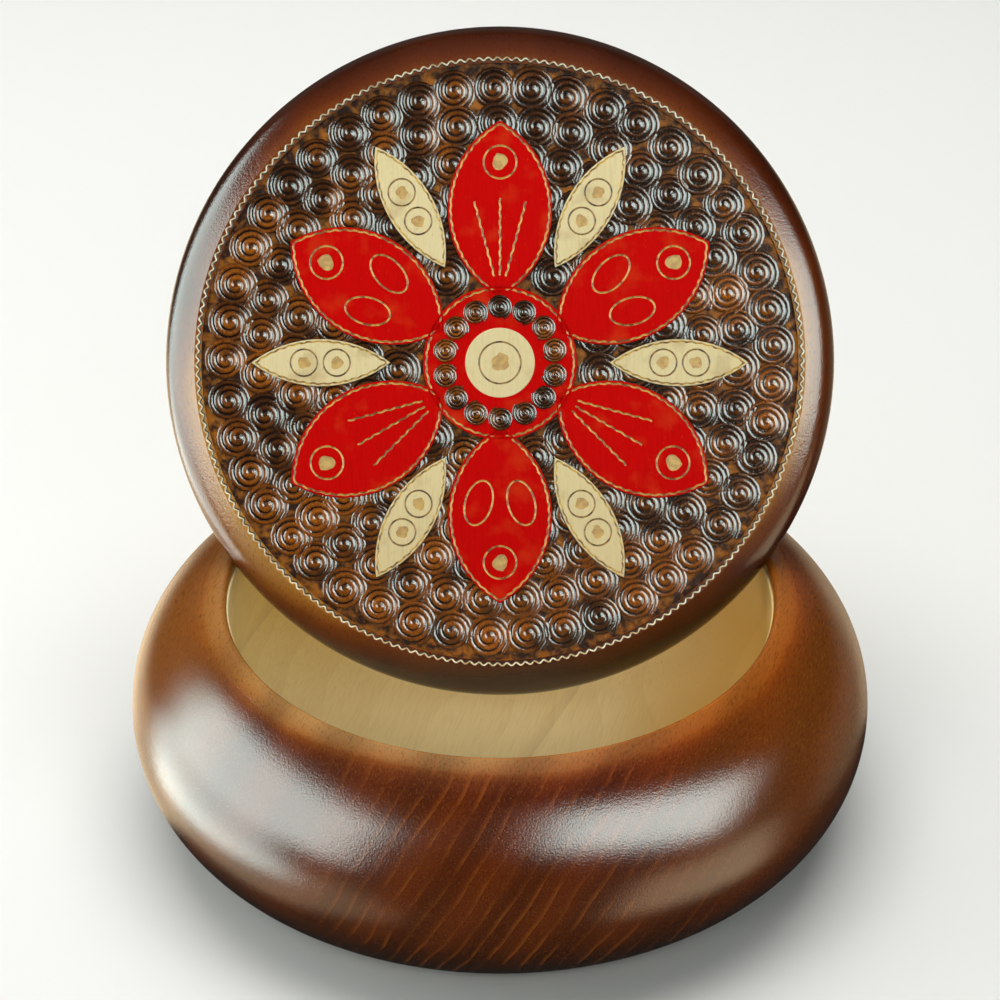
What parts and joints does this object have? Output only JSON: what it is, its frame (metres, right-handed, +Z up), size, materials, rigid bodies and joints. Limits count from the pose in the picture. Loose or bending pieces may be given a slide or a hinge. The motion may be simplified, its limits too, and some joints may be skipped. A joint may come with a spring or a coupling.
{
  "type": "wooden box",
  "caption": "Low round turned wooden box with a bulging side, a hollow inside and a loose half-round-edged lid with a carved rosette, shown open with the lid leaning in its mouth.",
  "frame": {"origin": "middle of the flat foot, on the surface that the box stands on", "axes": "+Z up along the axis of the body; the leaning lid's carved face looks towards -Y and up"},
  "size_m": [0.15, 0.15, 0.1446],
  "materials": {
    "stained_wood": "brown stain, fading to amber near the mouth, under satin lacquer; the hollow is bare pale wood",
    "carved_lid_wood": "brown stained border and stamped ground under satin lacquer",
    "red_stained_wood": "bright red stain with the grain showing, satin",
    "bare_wood": "bare pale wood, sanded"
  },
  "bodies": {
    "box": {"box_body": "stained_wood"},
    "lid": {"lid": "carved_lid_wood"}
  },
  "joints": [
    {"name": "lid_lift", "type": "slide", "parent": "box", "child": "lid", "axis": [0, 0, 1], "range_m": [0, 0.06]}
  ]
}
